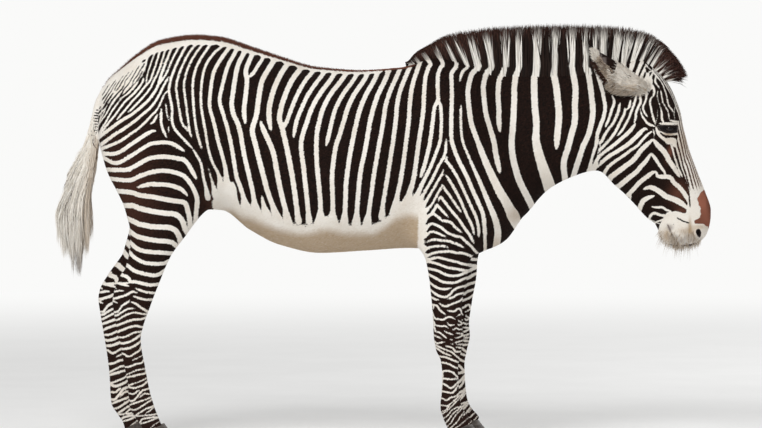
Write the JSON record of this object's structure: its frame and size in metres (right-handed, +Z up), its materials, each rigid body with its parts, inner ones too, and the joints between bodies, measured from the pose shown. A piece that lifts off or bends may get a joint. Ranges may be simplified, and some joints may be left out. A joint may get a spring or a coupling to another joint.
{
  "type": "grevy's zebra",
  "caption": "Life-size still model of a Grevy's zebra standing square with its head a little lowered, narrow stripes, upright mane and tufted tail.",
  "frame": {"origin": "on the floor under the middle of the animal's bounding box, in its middle plane", "axes": "+X from the tail to the nose, +Y to the animal's left, +Z up"},
  "size_m": [2.4513, 0.5358, 1.5677],
  "materials": {
    "coat": "short striped hair, black-brown on cream white",
    "mane_hair": "stiff upright hair, striped, brown-black tips",
    "tail_hair": "long hair, white with a darker end",
    "ear_hair": "short hair, pale with dark bands",
    "eye": "wet, dark brown, glossy",
    "hoof_horn": "dark grey horn with fine growth lines"
  },
  "bodies": {
    "root": {"trunk": "coat", "neck": "coat", "head": "coat", "hindleg_left": "coat", "hindleg_right": "coat", "foreleg_left": "coat", "foreleg_right": "coat", "mane": "mane_hair", "tail": "tail_hair", "tail_brush": "tail_hair", "ear_left": "ear_hair", "ear_right": "ear_hair", "eye_left": "eye", "eye_right": "eye", "hoof_hind_left": "hoof_horn", "hoof_hind_right": "hoof_horn", "hoof_fore_left": "hoof_horn", "hoof_fore_right": "hoof_horn"}
  },
  "joints": []
}
